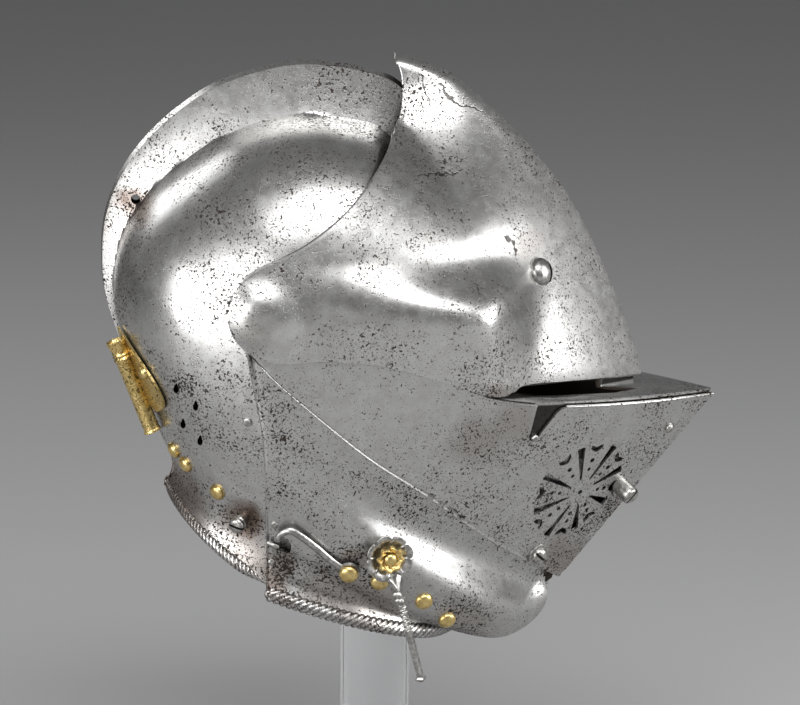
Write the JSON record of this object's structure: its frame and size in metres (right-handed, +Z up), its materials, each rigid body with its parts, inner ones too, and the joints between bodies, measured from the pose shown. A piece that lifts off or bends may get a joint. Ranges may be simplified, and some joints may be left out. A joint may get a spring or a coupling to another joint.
{
  "type": "close helmet on post stand",
  "caption": "Steel close helmet with a high comb, stepped sight, sharp pierced prow, hinged bevor, ventail and visor, hook and prop, held on a clear round post stand.",
  "frame": {"origin": "middle of the underside of the stand's base", "axes": "+X to the helmet's front, +Y to the wearer's left, +Z up"},
  "size_m": [0.334, 0.2238, 0.4319],
  "materials": {
    "steel": "old satin steel with fine dark pitting and worn bright edges",
    "dark_steel": "dark patinated steel",
    "brass": "aged brass, worn bright on its crowns",
    "clear_acrylic": "clear polished acrylic"
  },
  "bodies": {
    "skull_and_stand": {"pivot_bolt_left": "dark_steel", "pivot_bolt_right": "dark_steel", "plume_holder": "brass", "plume_rivet": "brass", "skull": "steel", "skull_flush_rivet_left": "steel", "skull_flush_rivet_right": "steel", "skull_lining_rivet_left_1": "brass", "skull_lining_rivet_left_2": "brass", "skull_lining_rivet_left_3": "brass", "skull_lining_rivet_right_1": "brass", "skull_lining_rivet_right_2": "brass", "skull_lining_rivet_right_3": "brass", "skull_peg": "dark_steel", "stand_base": "clear_acrylic", "stand_pad": "clear_acrylic", "stand_post": "clear_acrylic"},
    "bevor": {"bevor": "steel", "bevor_flush_rivet_lower": "steel", "bevor_flush_rivet_upper": "steel", "bevor_lining_rivet_left_1": "brass", "bevor_lining_rivet_left_2": "brass", "bevor_lining_rivet_left_3": "brass", "bevor_lining_rivet_left_4": "brass", "bevor_lining_rivet_right_1": "brass", "bevor_lining_rivet_right_2": "brass", "bevor_lining_rivet_right_3": "brass", "catch_pin": "dark_steel", "hook_rivet": "brass", "prop_rivet": "brass", "prop_rosette": "brass"},
    "ventail": {"ventail": "steel", "ventail_peg": "dark_steel", "ventail_rivet_left": "dark_steel", "ventail_rivet_right": "dark_steel", "ventail_screw_left": "dark_steel", "ventail_screw_right": "dark_steel"},
    "visor": {"brow_reinforce": "steel", "brow_screw_left": "steel", "brow_screw_right": "steel", "notch_peg_left": "steel", "notch_peg_right": "steel", "visor": "steel"},
    "s_hook": {"s_hook": "steel"},
    "prop": {"prop": "dark_steel"}
  },
  "joints": [
    {"name": "bevor_open", "type": "hinge", "parent": "skull_and_stand", "child": "bevor", "pos_m": [-0.062, 0, 0.305], "axis": [0, -1, 0], "range_deg": [0, 40]},
    {"name": "ventail_lift", "type": "hinge", "parent": "bevor", "child": "ventail", "pos_m": [-0.062, 0, 0.305], "axis": [0, -1, 0], "range_deg": [0, 25]},
    {"name": "visor_lift", "type": "hinge", "parent": "ventail", "child": "visor", "pos_m": [-0.062, 0, 0.305], "axis": [0, -1, 0], "range_deg": [0, 45]},
    {"name": "hook_swing", "type": "hinge", "parent": "bevor", "child": "s_hook", "pos_m": [-0.01555, -0.07814, 0.16344], "axis": [0.0194, 0.9222, 0.3863], "range_deg": [0, 60]},
    {"name": "prop_swing", "type": "hinge", "parent": "bevor", "child": "prop", "pos_m": [0.00506, -0.07977, 0.1716], "axis": [0.2943, -0.9472, -0.1271], "range_deg": [-20, 70]}
  ]
}
